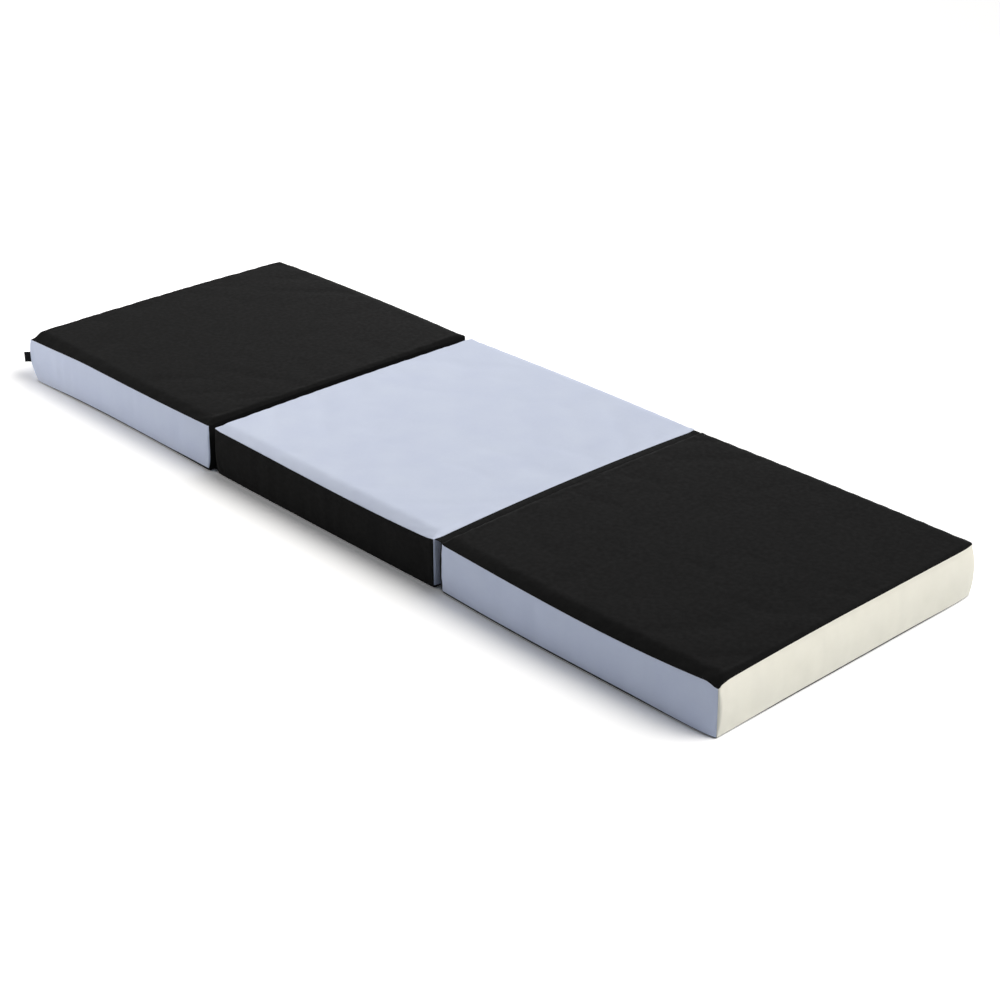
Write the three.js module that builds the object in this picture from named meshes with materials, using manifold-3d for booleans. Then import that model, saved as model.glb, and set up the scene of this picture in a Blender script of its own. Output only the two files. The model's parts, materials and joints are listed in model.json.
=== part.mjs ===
// Folding mattress: three foam sections in sewn, colour-blocked canvas covers, joined in a zigzag
// by two fabric hinges, so that it lies flat as a bed or folds into a low square seat.
//
// Millimetres. +X runs from the left section to the right one, +Y to the back and +Z up.
// The origin is on the floor under the middle of the middle section.

import * as THREE from "three";
import Module from "manifold-3d";

const wasm = await Module();
wasm.setup();

// Section sizes, measured between seams
const sectionLength = 635;
const sectionWidth = 670;
const bandHeight = 91;
const bottomSeamHeight = 4;
const hingeGap = 18;

// Fabric and fits
const fabricThickness = 1;
const seatGap = 0.3;

// Padded form of a section: the top rolls far over the front seam and hardly over the ends
const cornerRadius = 4;
const frontShoulderRun = 26;
const endShoulderRun = 10;
const backShoulderRun = 16;
const shoulderRise = 8;
const crownRise = 1;
const sideSwell = 1.5;
const floorRun = 6;
const topCornerRadius = 14;
const floorCornerRadius = 12;
const outerFrontCornerDip = 5;
const outerBackCornerDip = 1;
const innerCornerRise = 2;
const bottomCornerLift = 2;
const endSeamLift = 5;
const leftFrontBow = 2;
const middleFrontBow = 1;
const rightFrontBow = 8;
const leftFrontSag = 1;
const middleFrontSag = 3.3;
const rightFrontSag = 4.4;
const leftEndBow = 12;

// Zip along the middle of each back band
const tapeThickness = 0.6;
const tapeWidth = 12;
const tapeParting = 0.6;
const zipEndMargin = 37.5;
const coilHeight = 5.6;
const coilDepth = 1.6;
const flangeThickness = 0.8;
const slotPlay = 0.4;
const sliderLength = 11;
const wingThickness = 1.2;
const bridgeSpan = 6.4;
const bridgeFoot = 1.2;
const bridgeWidth = 2;
const bridgeRoof = 1.2;
const pullThickness = 1.2;
const pullBar = 1.2;
const pullWidth = 6;
const pullLength = 24;
const eyeLength = 5;
const eyePlay = 0.4;
const pullPlay = 0.1;
const topStopLength = 3;
const bottomStopLength = 5;
const stopOverhang = 0.7;

// Folded label in the front left corner
const labelHeight = 22;
const labelReach = 20;
const labelThickness = 1.2;
const labelPly = 0.4;
const labelMiddleHeight = 48;

// Shares of an edge, from one corner to the other, where a panel has a column of points
const edgeColumnShares = [-1, -0.955, -0.6, 0, 0.6, 0.955, 1];
// Shares of the quarter turn at a corner, with the upright seam in its middle
const turnShares = [0, 0.25, 0.5, 0.75, 1];
const seamTurnShare = 0.5;
// Shares of the band's height
const bandRowShares = [0, 0.25, 0.5, 0.75, 1];
const halfBandRowShares = [0, 0.5, 1];
// Shares of the way from the shoulder to the middle of the section
const outerCrownShares = [0.15, 0.4, 0.7];
const innerCrownShares = [0.6];
// Shares of the run from a seam to the flat of the top or the underside, and how fast it levels out
const outerShoulderShares = [0, 1 / 3, 2 / 3, 1];
const innerShoulderShares = [0, 0.5, 1];
const floorRunShares = [0, 1 / 3, 1];
const levellingPower = 1.4;
// How much of the dip at a corner is left where the corner meets the straight edge
const tangentDipShare = 0.8;
// How much more a front seam sags toward its right end than in its middle
const sagSkew = 1.1;

// Derived places
const halfLength = sectionLength / 2;
const halfWidth = sectionWidth / 2;
const topSeamHeight = bottomSeamHeight + bandHeight;
const middleHeight = bottomSeamHeight + bandHeight / 2;
const crownHeight = topSeamHeight + shoulderRise + crownRise;
const sectionPitch = sectionLength + hingeGap;
const coreSideGap = fabricThickness + seatGap + tapeThickness + seatGap;
const coreFlatGap = fabricThickness + seatGap;

// Finishes
function canvas(color) {
  return new THREE.MeshStandardMaterial({ color, roughness: 0.92, metalness: 0 });
}
const blackCanvas = canvas("#181818");
const lavenderCanvas = canvas("#c9d0e5");
const creamCanvas = canvas("#ebe8d9");
const paleFoam = new THREE.MeshStandardMaterial({ color: "#e9e2cd", roughness: 1, metalness: 0 });
const blackNylon = new THREE.MeshStandardMaterial({ color: "#1c1c1e", roughness: 0.55, metalness: 0 });
const blackZinc = new THREE.MeshStandardMaterial({ color: "#26262a", roughness: 0.4, metalness: 0.6 });

// A closed surface collected triangle by triangle
class Surface {
  constructor() {
    this.positions = [];
  }
  triangle(a, b, c) {
    for (const p of [a, b, c]) this.positions.push(p.x, p.y, p.z);
  }
  // Four corners in order, split along the shorter diagonal, so that surfaces one
  // inside the other are split alike
  quad(a, b, c, d) {
    if (a.distanceTo(c) <= b.distanceTo(d)) {
      this.triangle(a, b, c);
      this.triangle(a, c, d);
    } else {
      this.triangle(b, c, d);
      this.triangle(b, d, a);
    }
  }
  geometry() {
    const geometry = new THREE.BufferGeometry();
    geometry.setAttribute("position", new THREE.Float32BufferAttribute(this.positions, 3));
    geometry.computeVertexNormals();
    return geometry;
  }
}

// Stations go counter-clockwise round a section, starting at the left of the front edge.
// Each gives its point for any distance outside the seam line and any corner radius, how far
// the bottom seam is lifted and the top seam dropped there, and how far the top rolls inward
// from the nearest long side.
function edgeStation(side, share, form) {
  const dipShare = Math.abs(share) === 1 ? tangentDipShare : 0;
  const onLeft = { front: share < 0, right: false, back: share > 0, left: true }[side];
  const arch = 1 - share * share;
  const frontSag = form.frontSag * (1 + sagSkew * share);
  const sag = { front: frontSag, right: -endSeamLift, back: 0, left: -endSeamLift }[side] * arch;
  const frontBow = form.frontBow * arch;
  const leftBow = form.leftBow * arch;
  const toBack = { front: 0, right: (1 + share) / 2, back: 1, left: (1 - share) / 2 }[side];
  const at = (out, radius, outAcross = out) => {
    const alongX = share * (halfLength + out - radius);
    const alongY = share * (halfWidth + outAcross - radius);
    if (side === "front") return new THREE.Vector2(alongX, -(halfWidth + outAcross + frontBow));
    if (side === "right") return new THREE.Vector2(halfLength + out, alongY);
    if (side === "back") return new THREE.Vector2(-alongX, halfWidth + outAcross);
    return new THREE.Vector2(-(halfLength + out + leftBow), -alongY);
  };
  return seamStation(form, onLeft, dipShare, sag, toBack, at);
}

function cornerStation(corner, share, form) {
  const [signX, signY, start, toBack] = {
    frontRight: [1, -1, -Math.PI / 2, 0],
    backRight: [1, 1, 0, 1],
    backLeft: [-1, 1, Math.PI / 2, 1],
    frontLeft: [-1, -1, Math.PI, 0],
  }[corner];
  const angle = start + (share * Math.PI) / 2;
  const dipShare = tangentDipShare + (1 - tangentDipShare) * Math.sin(share * Math.PI);
  const at = (out, radius, outAcross = out) =>
    new THREE.Vector2(
      signX * (halfLength + out - radius) + radius * Math.cos(angle),
      signY * (halfWidth + outAcross - radius) + radius * Math.sin(angle),
    );
  return seamStation(form, signX < 0, dipShare, 0, toBack, at);
}

function seamStation(form, onLeft, dipShare, sag, toBack, at) {
  const lift = bottomCornerLift * dipShare;
  const [frontDip, backDip] = onLeft ? form.leftDips : form.rightDips;
  const drop = THREE.MathUtils.lerp(frontDip, backDip, toBack) * dipShare + sag;
  const runAcross = THREE.MathUtils.lerp(frontShoulderRun, backShoulderRun, toBack);
  return { lift, drop, runAcross, at };
}

function edge(side, form) {
  return edgeColumnShares.map((share) => edgeStation(side, share, form));
}

function corner(name, turns, form) {
  return turns.map((share) => cornerStation(name, share, form));
}

// The whole outline, with each tangent point once
function outline(form) {
  const innerTurns = turnShares.slice(1, -1);
  return [
    ...edge("front", form),
    ...corner("frontRight", innerTurns, form),
    ...edge("right", form),
    ...corner("backRight", innerTurns, form),
    ...edge("back", form),
    ...corner("backLeft", innerTurns, form),
    ...edge("left", form),
    ...corner("frontLeft", innerTurns, form),
  ];
}

const topSeam = (station) => topSeamHeight - station.drop;
const bottomSeam = (station) => bottomSeamHeight + station.lift;

// How far the side stands out of the seam line at a height
function swell(height) {
  const share = (height - middleHeight) / (bandHeight / 2);
  return sideSwell * Math.max(0, 1 - share * share);
}

// A closed solid of rings of points, from a lowest point to a highest one
function ringSolid(low, rings, high) {
  const surface = new Surface();
  const count = rings[0].length;
  for (let k = 0; k < count; k += 1) {
    const next = (k + 1) % count;
    surface.triangle(low, rings[0][next], rings[0][k]);
    for (let r = 0; r + 1 < rings.length; r += 1) {
      surface.quad(rings[r][k], rings[r][next], rings[r + 1][next], rings[r + 1][k]);
    }
    surface.triangle(rings.at(-1)[k], rings.at(-1)[next], high);
  }
  return surface.geometry();
}

const levelled = (share) => 1 - (1 - share) ** levellingPower;

// One ring of a crowned top: inset from the seam line, then up over the shoulder
function shoulderRing(stations, inset, drop, share) {
  const climb = levelled(share);
  const inward = THREE.MathUtils.lerp(inset, endShoulderRun, share);
  const radius = THREE.MathUtils.lerp(cornerRadius - inset, topCornerRadius, share);
  return stations.map((station) => {
    const inwardAcross = THREE.MathUtils.lerp(inset, station.runAcross, share);
    const rise = (shoulderRise - drop) * climb - station.drop * (1 - climb);
    const flat = station.at(-inward, radius, -inwardAcross);
    return new THREE.Vector3(flat.x, flat.y, topSeamHeight + rise);
  });
}

// The rings between the shoulder and the middle
function crownRings(stations, inset, drop, shares) {
  const shoulder = shoulderRing(stations, inset, drop, 1);
  return shares.map((share) =>
    shoulder.map((p) => {
      const rise = crownRise * (1 - (1 - share) ** 2);
      return new THREE.Vector3(p.x * (1 - share), p.y * (1 - share), p.z + rise);
    }),
  );
}

// One ring of the underside: from the seam it runs inward and down, and lies flat on the floor
function floorRing(stations, inset, level, share) {
  const inward = THREE.MathUtils.lerp(inset, floorRun, share);
  const radius = THREE.MathUtils.lerp(cornerRadius - inset, floorCornerRadius, share);
  return stations.map((station) => {
    const seam = bottomSeam(station);
    const flat = station.at(-inward, radius);
    return new THREE.Vector3(flat.x, flat.y, seam - (seam - level) * levelled(share));
  });
}

function shiftUp(ring, rise) {
  return ring.map((p) => new THREE.Vector3(p.x, p.y, p.z + rise));
}

const onAxis = (height) => new THREE.Vector3(0, 0, height);

function topPanel(form) {
  const stations = outline(form);
  const t = fabricThickness;
  const inner = innerShoulderShares.map((share) => shoulderRing(stations, t, t, share));
  const outer = outerShoulderShares.map((share) => shoulderRing(stations, 0, 0, share));
  inner[0] = shiftUp(inner[0], seatGap / 2);
  outer[0] = shiftUp(outer[0], seatGap / 2);
  const rings = [
    ...crownRings(stations, t, t, innerCrownShares).reverse(),
    ...inner.reverse(),
    ...outer,
    ...crownRings(stations, 0, 0, outerCrownShares),
  ];
  return ringSolid(onAxis(crownHeight - t), rings, onAxis(crownHeight));
}

function bottomPanel(form) {
  const stations = outline(form);
  const t = fabricThickness;
  const outer = floorRunShares.map((share) => floorRing(stations, 0, 0, share));
  const inner = [0, 1].map((share) => floorRing(stations, t, t, share));
  outer[0] = shiftUp(outer[0], -seatGap / 2);
  inner[0] = shiftUp(inner[0], -seatGap / 2);
  return ringSolid(onAxis(0), [...outer.reverse(), ...inner], onAxis(t));
}

// The foam block under the same crown, clear of the cover
function foamCore(form) {
  const stations = outline(form);
  const inset = coreSideGap;
  const drop = coreFlatGap;
  const side = stations.map((station) => {
    const flat = station.at(swell(middleHeight) - inset, cornerRadius - inset);
    return new THREE.Vector3(flat.x, flat.y, middleHeight);
  });
  const rings = [
    floorRing(stations, inset, drop, 1),
    floorRing(stations, inset, drop, 0),
    side,
    ...innerShoulderShares.map((share) => shoulderRing(stations, inset, drop, share)),
    ...crownRings(stations, inset, drop, innerCrownShares),
  ];
  return ringSolid(onAxis(drop), rings, onAxis(crownHeight - drop));
}

// A strip of the side band between two heights at each station
function bandPanel(stations, lowAt, highAt, rowShares) {
  const grid = (inset) =>
    stations.map((station) =>
      rowShares.map((share) => {
        const height = THREE.MathUtils.lerp(lowAt(station), highAt(station), share);
        const out = swell(height) - inset;
        const flat = station.at(out, cornerRadius + out);
        return new THREE.Vector3(flat.x, flat.y, height);
      }),
    );
  const outer = grid(0);
  const inner = grid(fabricThickness);
  const surface = new Surface();
  const top = rowShares.length - 1;
  const last = stations.length - 1;
  for (let c = 0; c < last; c += 1) {
    for (let r = 0; r < top; r += 1) {
      surface.quad(outer[c][r], outer[c + 1][r], outer[c + 1][r + 1], outer[c][r + 1]);
      surface.quad(inner[c][r + 1], inner[c + 1][r + 1], inner[c + 1][r], inner[c][r]);
    }
    surface.quad(outer[c][top], outer[c + 1][top], inner[c + 1][top], inner[c][top]);
    surface.quad(inner[c][0], inner[c + 1][0], outer[c + 1][0], outer[c][0]);
  }
  for (let r = 0; r < top; r += 1) {
    surface.quad(outer[0][r], outer[0][r + 1], inner[0][r + 1], inner[0][r]);
    surface.quad(inner[last][r], inner[last][r + 1], outer[last][r + 1], outer[last][r]);
  }
  return surface.geometry();
}

const bandLow = (station) => bottomSeam(station) + seatGap / 2;
const bandHigh = (station) => topSeam(station) - seatGap / 2;

// A side's stations run from the upright seam in one corner to that in the next, half a gap
// short of both
function sideStations(side, form) {
  const trim = seatGap / 2 / cornerRadius / (Math.PI / 2);
  const [before, after] = {
    front: ["frontLeft", "frontRight"],
    right: ["frontRight", "backRight"],
    back: ["backRight", "backLeft"],
    left: ["backLeft", "frontLeft"],
  }[side];
  const leaving = turnShares.filter((share) => share > seamTurnShare && share < 1);
  const entering = turnShares.filter((share) => share > 0 && share < seamTurnShare);
  return [
    ...corner(before, [seamTurnShare + trim, ...leaving], form),
    ...edge(side, form),
    ...corner(after, [...entering, seamTurnShare - trim], form),
  ];
}

function sidePanel(side, form) {
  return bandPanel(sideStations(side, form), bandLow, bandHigh, bandRowShares);
}

// Zip places, measured in a section: the back band is split by a slot for the coil and slider
const zipLength = sectionLength - 2 * zipEndMargin;
const slotHeight = coilHeight + 2 * (seatGap + flangeThickness + slotPlay);
const backFace = halfWidth + sideSwell;
const tapeOuterEdge = middleHeight + tapeParting / 2 + tapeWidth;
const tapeFront = halfWidth + swell(tapeOuterEdge) - fabricThickness - seatGap;
const coilBack = tapeFront + seatGap;
const coilFront = coilBack + coilDepth;
const wingBack = coilFront + seatGap;
const wingFront = wingBack + wingThickness;
// Room under the bridge for the pull's bar to turn over
const bridgeHeadroom = Math.hypot(pullBar, pullThickness) + 2 * pullPlay;
const pivotDepth = wingFront + bridgeHeadroom / 2;
const tapeLength = sectionLength - 2 * cornerRadius - 2 * seatGap;
const topStopMiddle = -(zipLength + topStopLength) / 2 - seatGap;
const bottomStopMiddle = (zipLength + bottomStopLength) / 2 + seatGap;
const sliderStart = -(zipLength - sliderLength) / 2;

function backStrip(upper, form) {
  const stations = sideStations("back", form);
  const slotEdge = () => middleHeight + (upper ? slotHeight : -slotHeight) / 2;
  const lowAt = upper ? slotEdge : bandLow;
  const highAt = upper ? bandHigh : slotEdge;
  return bandPanel(stations, lowAt, highAt, halfBandRowShares);
}

function block(length, depth, height) {
  return new THREE.BoxGeometry(length, depth, height);
}

function toManifold(geometry) {
  const flat = geometry.index ? geometry.toNonIndexed() : geometry;
  const positions = flat.getAttribute("position");
  const places = new Map();
  const vertProperties = [];
  const triVerts = [];
  for (let i = 0; i < positions.count; i += 1) {
    const point = [positions.getX(i), positions.getY(i), positions.getZ(i)];
    const key = point.map((value) => value.toFixed(4)).join();
    if (!places.has(key)) {
      places.set(key, places.size);
      vertProperties.push(...point);
    }
    triVerts.push(places.get(key));
  }
  const mesh = new wasm.Mesh({
    numProp: 3,
    vertProperties: new Float32Array(vertProperties),
    triVerts: new Uint32Array(triVerts),
  });
  return new wasm.Manifold(mesh);
}

function joined(first, second) {
  const { vertProperties, triVerts } = toManifold(first).add(toManifold(second)).getMesh();
  const geometry = new THREE.BufferGeometry();
  geometry.setAttribute("position", new THREE.BufferAttribute(vertProperties, 3));
  geometry.setIndex(new THREE.BufferAttribute(triVerts, 1));
  return geometry;
}

function polygon(points) {
  return new THREE.Shape(points.map(([x, y]) => new THREE.Vector2(x, y)));
}

// The slider: a channel that runs on the coil, with a bridge for the pull on its face.
// Its own zero is in the middle of the coil's length and height, at the wing's front.
function zipSlider() {
  const half = coilHeight / 2 + seatGap;
  const outer = half + flangeThickness;
  const depth = wingFront - coilBack;
  const channel = polygon([
    [0, -outer],
    [0, outer],
    [-depth, outer],
    [-depth, half],
    [-wingThickness, half],
    [-wingThickness, -half],
    [-depth, -half],
    [-depth, -outer],
  ]);
  const body = new THREE.ExtrudeGeometry(channel, { depth: sliderLength, bevelEnabled: false });
  body.translate(0, 0, -sliderLength / 2);
  // The section is drawn in depth and height, and the extrusion runs along the zip
  body.applyMatrix4(new THREE.Matrix4().makeBasis(
    new THREE.Vector3(0, 1, 0), new THREE.Vector3(0, 0, 1), new THREE.Vector3(1, 0, 0),
  ));
  const halfSpan = bridgeSpan / 2;
  const root = -wingThickness / 2;
  const roof = bridgeHeadroom + bridgeRoof;
  const arch = polygon([
    [-halfSpan, root],
    [-halfSpan + bridgeFoot, root],
    [-halfSpan + bridgeFoot, bridgeHeadroom],
    [halfSpan - bridgeFoot, bridgeHeadroom],
    [halfSpan - bridgeFoot, root],
    [halfSpan, root],
    [halfSpan, bridgeHeadroom],
    [halfSpan - bridgeFoot, roof],
    [-halfSpan + bridgeFoot, roof],
    [-halfSpan, bridgeHeadroom],
  ]);
  const bridge = new THREE.ExtrudeGeometry(arch, { depth: bridgeWidth, bevelEnabled: false });
  bridge.translate(0, 0, -bridgeWidth / 2);
  return joined(body, bridge);
}

// The pull: a flat tab with an eye, drawn from the middle of its hinge bar
function zipPull() {
  const half = pullWidth / 2;
  const bar = pullBar / 2;
  const eyeHalf = bridgeWidth / 2 + eyePlay;
  const tab = new THREE.Shape();
  tab.moveTo(-bar, -half);
  tab.lineTo(pullLength - half, -half);
  tab.absarc(pullLength - half, 0, half, -Math.PI / 2, Math.PI / 2, false);
  tab.lineTo(-bar, half);
  tab.closePath();
  const eyeEnd = bar + eyeLength;
  tab.holes.push(polygon([[bar, -eyeHalf], [bar, eyeHalf], [eyeEnd, eyeHalf], [eyeEnd, -eyeHalf]]));
  const settings = { depth: pullThickness, bevelEnabled: false, curveSegments: 8 };
  const geometry = new THREE.ExtrudeGeometry(tab, settings);
  geometry.translate(0, 0, -pullThickness / 2);
  return geometry.rotateX(Math.PI / 2);
}

// The label: one strip folded at its outer end, its two plies a little apart
function foldedLabel() {
  const half = labelThickness / 2;
  const innerHalf = half - labelPly;
  const fold = labelReach - half;
  const loop = new THREE.Shape();
  loop.moveTo(0, -half);
  loop.lineTo(fold, -half);
  loop.absarc(fold, 0, half, -Math.PI / 2, Math.PI / 2, false);
  loop.lineTo(0, half);
  loop.lineTo(0, innerHalf);
  loop.lineTo(fold, innerHalf);
  loop.absarc(fold, 0, innerHalf, Math.PI / 2, -Math.PI / 2, true);
  loop.lineTo(0, -innerHalf);
  loop.closePath();
  const settings = { depth: labelHeight, bevelEnabled: false, curveSegments: 6 };
  const geometry = new THREE.ExtrudeGeometry(loop, settings);
  return geometry.translate(0, 0, -labelHeight / 2);
}

function piece(name, geometry, material, x = 0, y = 0, z = 0) {
  const mesh = new THREE.Mesh(geometry, material);
  mesh.name = name;
  mesh.position.set(x, y, z);
  return mesh;
}

// The zip's pieces, all placed from the middle of the back band's height
function zip(name) {
  const group = new THREE.Group();
  group.position.z = middleHeight;
  const tapeMiddle = tapeFront - tapeThickness / 2;
  const tapeRise = (tapeWidth + tapeParting) / 2;
  const tape = () => block(tapeLength, tapeThickness, tapeWidth);
  const coil = block(zipLength, coilDepth, coilHeight);
  const coilMiddle = coilBack + coilDepth / 2;
  const stop = (length) => block(length, coilDepth, coilHeight + stopOverhang);
  group.add(
    piece(`${name}_zip_tape_upper`, tape(), blackNylon, 0, tapeMiddle, tapeRise),
    piece(`${name}_zip_tape_lower`, tape(), blackNylon, 0, tapeMiddle, -tapeRise),
    piece(`${name}_zip_coil`, coil, blackNylon, 0, coilMiddle),
    piece(`${name}_zip_top_stop`, stop(topStopLength), blackZinc, topStopMiddle, coilMiddle),
    piece(`${name}_zip_bottom_stop`, stop(bottomStopLength), blackZinc, bottomStopMiddle, coilMiddle),
    piece(`${name}_zip_slider`, zipSlider(), blackZinc, sliderStart, wingFront),
    piece(`${name}_zip_pull`, zipPull(), blackZinc, sliderStart, pivotDepth),
  );
  return group;
}

function section(name, form, top, long, leftEnd, rightEnd) {
  const group = new THREE.Group();
  group.add(
    piece(`${name}_foam_core`, foamCore(form), paleFoam),
    piece(`${name}_top_panel`, topPanel(form), top),
    piece(`${name}_bottom_panel`, bottomPanel(form), blackCanvas),
    piece(`${name}_front_side`, sidePanel("front", form), long),
    piece(`${name}_back_side_upper`, backStrip(true, form), long),
    piece(`${name}_back_side_lower`, backStrip(false, form), long),
    piece(`${name}_left_end`, sidePanel("left", form), leftEnd),
    piece(`${name}_right_end`, sidePanel("right", form), rightEnd),
    zip(name),
  );
  return group;
}

// A strip bridges the gap from seam to seam. It follows the seams and lies on the fold's side of
// them, out of the way of the section that swings.
function hingeStrip(name, material, side, seam, foldSide) {
  const halfSpan = hingeGap / 2 - seatGap;
  const near = (foldSide * seatGap) / 2;
  const far = near + foldSide * fabricThickness;
  const low = Math.min(near, far);
  const high = Math.max(near, far);
  const slices = edge("right", straight).map((station) => {
    const { y } = station.at(0, cornerRadius);
    const height = seam(station);
    return [
      new THREE.Vector3(-halfSpan, y, height + low),
      new THREE.Vector3(halfSpan, y, height + low),
      new THREE.Vector3(halfSpan, y, height + high),
      new THREE.Vector3(-halfSpan, y, height + high),
    ];
  });
  const surface = new Surface();
  for (let i = 0; i + 1 < slices.length; i += 1) {
    for (let k = 0; k < slices[i].length; k += 1) {
      const turn = (k + 1) % slices[i].length;
      surface.quad(slices[i][k], slices[i + 1][k], slices[i + 1][turn], slices[i][turn]);
    }
  }
  surface.quad(...slices[0]);
  surface.quad(...slices.at(-1).reverse());
  return piece(name, surface.geometry(), material, side * (sectionPitch / 2));
}

const [black, lavender, cream] = [blackCanvas, lavenderCanvas, creamCanvas];
// How far the top seam dips at the front and at the back corner of an end
const innerDips = [-innerCornerRise, -innerCornerRise];
const outerDips = [outerFrontCornerDip, outerBackCornerDip];
const straight = { frontBow: 0, frontSag: 0, leftBow: 0, leftDips: innerDips, rightDips: innerDips };
const leftForm = {
  ...straight,
  frontBow: leftFrontBow,
  frontSag: leftFrontSag,
  leftBow: leftEndBow,
  leftDips: outerDips,
};
const middleForm = { ...straight, frontBow: middleFrontBow, frontSag: middleFrontSag };
const rightForm = {
  ...straight, frontBow: rightFrontBow, frontSag: rightFrontSag, rightDips: outerDips,
};
const left = section("left", leftForm, black, lavender, lavender, black);
const middle = section("middle", middleForm, lavender, black, lavender, lavender);
const right = section("right", rightForm, black, lavender, black, cream);
left.position.x = -sectionPitch;
right.position.x = sectionPitch;

const labelBase = cornerRadius + swell(labelMiddleHeight) + seatGap;
const labelCorner = new THREE.Group();
labelCorner.position.set(-(halfLength - cornerRadius), -(halfWidth - cornerRadius), labelMiddleHeight);
labelCorner.rotation.z = Math.PI + Math.PI / 4;
labelCorner.add(piece("left_side_label", foldedLabel(), black, labelBase));
left.add(labelCorner);

const mattress = new THREE.Group();
mattress.add(
  left,
  middle,
  right,
  hingeStrip("lower_hinge_strip", black, -1, bottomSeam, -1),
  hingeStrip("upper_hinge_strip", black, 1, topSeam, 1),
);

export default mattress;
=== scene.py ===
# %% [markdown]
# # A folding mattress
# The real object is three square foam blocks in sewn canvas covers, joined by two cloth hinges.
# This script dresses the imported CAD model of it. The frame already holds every piece's place and
# every joint, so each finished piece here is built round its CAD piece, in metres, and each piece
# that stays on one section is told which body it moves with. The photograph's camera comes first,
# because all the rest is judged through it.

# %% Load the imported frame
import json
import math

import bpy
import numpy as np
from mathutils import Matrix, Vector


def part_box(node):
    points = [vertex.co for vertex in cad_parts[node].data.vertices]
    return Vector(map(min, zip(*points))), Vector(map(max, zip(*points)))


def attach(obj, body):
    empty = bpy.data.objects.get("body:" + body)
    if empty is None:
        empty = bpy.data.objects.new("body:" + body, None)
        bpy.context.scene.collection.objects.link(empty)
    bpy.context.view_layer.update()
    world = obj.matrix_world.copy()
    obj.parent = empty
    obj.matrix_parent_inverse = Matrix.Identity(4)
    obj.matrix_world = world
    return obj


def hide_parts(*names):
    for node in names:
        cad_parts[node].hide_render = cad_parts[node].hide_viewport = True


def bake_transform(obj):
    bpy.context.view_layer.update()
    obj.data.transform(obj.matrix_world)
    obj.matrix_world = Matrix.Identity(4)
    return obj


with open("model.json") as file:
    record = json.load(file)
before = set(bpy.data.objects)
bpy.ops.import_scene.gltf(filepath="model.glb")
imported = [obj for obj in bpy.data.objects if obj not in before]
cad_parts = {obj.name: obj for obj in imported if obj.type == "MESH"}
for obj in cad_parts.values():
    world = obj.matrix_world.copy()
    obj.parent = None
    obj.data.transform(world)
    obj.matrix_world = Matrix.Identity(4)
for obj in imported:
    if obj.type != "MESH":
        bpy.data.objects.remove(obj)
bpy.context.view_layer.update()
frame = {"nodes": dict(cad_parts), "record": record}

MM = 0.001
slots = {row["node"]: row["material_slot"] for row in frame["record"]["subparts"]}

# %% [markdown]
# ## Camera
# The view looks along the mattress from its front right, a little from above, with a short
# telephoto lens, so that parallel edges close only slowly. Focal length, direction and place come
# from fitting a pinhole camera to the edges of the three sections, which gives a closer match than
# aiming a camera by eye.

# %% Camera
FRAME_PX = 1000
FOCAL_PX = 2090.2
SENSOR_MM = 36
FARTHEST_SEEN = 200
AZIMUTH = math.radians(46.89)
ELEVATION = math.radians(26.39)
AIM = Vector((-87.42, 49.83, -4052.94)) * MM

right = Vector((math.cos(AZIMUTH), math.sin(AZIMUTH), 0))
back = Vector((
    math.sin(AZIMUTH) * math.cos(ELEVATION),
    -math.cos(AZIMUTH) * math.cos(ELEVATION),
    math.sin(ELEVATION),
))
up = back.cross(right)
place = -(right * AIM.x + up * AIM.y + back * AIM.z)
camera = bpy.data.objects.new("camera", bpy.data.cameras.new("camera"))
camera.data.sensor_width = SENSOR_MM
camera.data.lens = SENSOR_MM * FOCAL_PX / FRAME_PX
camera.data.clip_end = FARTHEST_SEEN
camera.matrix_world = Matrix.Translation(place) @ Matrix((right, up, back)).transposed().to_4x4()
bpy.context.scene.collection.objects.link(camera)
bpy.context.scene.camera = camera
print("lens", round(camera.data.lens, 1), "mm, at", [round(c, 2) for c in place])

# %% [markdown]
# ## Helpers for materials
# Colours are written as they look on a screen, so one function turns them to the linear values
# that Blender's shaders work in. A second one adds a node with its settings and its links in one
# call, which keeps each material as short as a recipe.


# %% Colour and node helpers
def linear(hex_colour):
    """The standard curve from screen values to linear ones, with full opacity."""
    parts = [int(hex_colour[i:i + 2], 16) / 255 for i in (1, 3, 5)]
    return tuple(c / 12.92 if c <= 0.04045 else ((c + 0.055) / 1.055) ** 2.4 for c in parts) + (1.0,)


def add_node(tree, kind, settings=None, **inputs):
    """Add a node. Inputs go by name, or by place as in0, in1, and take a value or a socket."""
    node = tree.nodes.new(kind)
    for name, value in (settings or {}).items():
        setattr(node, name, value)
    for name, value in inputs.items():
        key = int(name[2:]) if name.startswith("in") and name[2:].isdigit() else name.replace("_", " ")
        if isinstance(value, bpy.types.NodeSocket):
            tree.links.new(value, node.inputs[key])
        else:
            node.inputs[key].default_value = value
    return node


def empty_material(name):
    material = bpy.data.materials.new(name)
    material.use_nodes = True
    material.node_tree.nodes.clear()
    return material, material.node_tree


def finish_material(tree, shader):
    add_node(tree, "ShaderNodeOutputMaterial", Surface=shader)


# %% [markdown]
# ## Cotton canvas
# The covers are plain-woven cotton canvas of about 0.6 mm, dyed black or pale lavender and left
# cream at one end. A plain weave is over one, under one, which two crossed sine waves give as a
# bump. Real threads are some 0.5 mm apart, and here they are 1.2 mm apart, so that a close view
# still shows them. Cotton is matt, so it is rough and hardly mirrors anything, and no thread is
# dyed quite evenly, hence two scales of slight colour change.

# %% Canvas material
THREAD_PITCH = 1.2 * MM
SLUB_LENGTH = 9 * MM
CLOUD_SIZE = 90 * MM
SLUBS_IN_DYE = 0.35
SLUBS_IN_RELIEF = 0.8
DYE_NOISE = (0.45, 0.9)
SLUB_NOISE = (0.3, 0.7)
WEAVE_STRENGTH = 0.35


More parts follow.
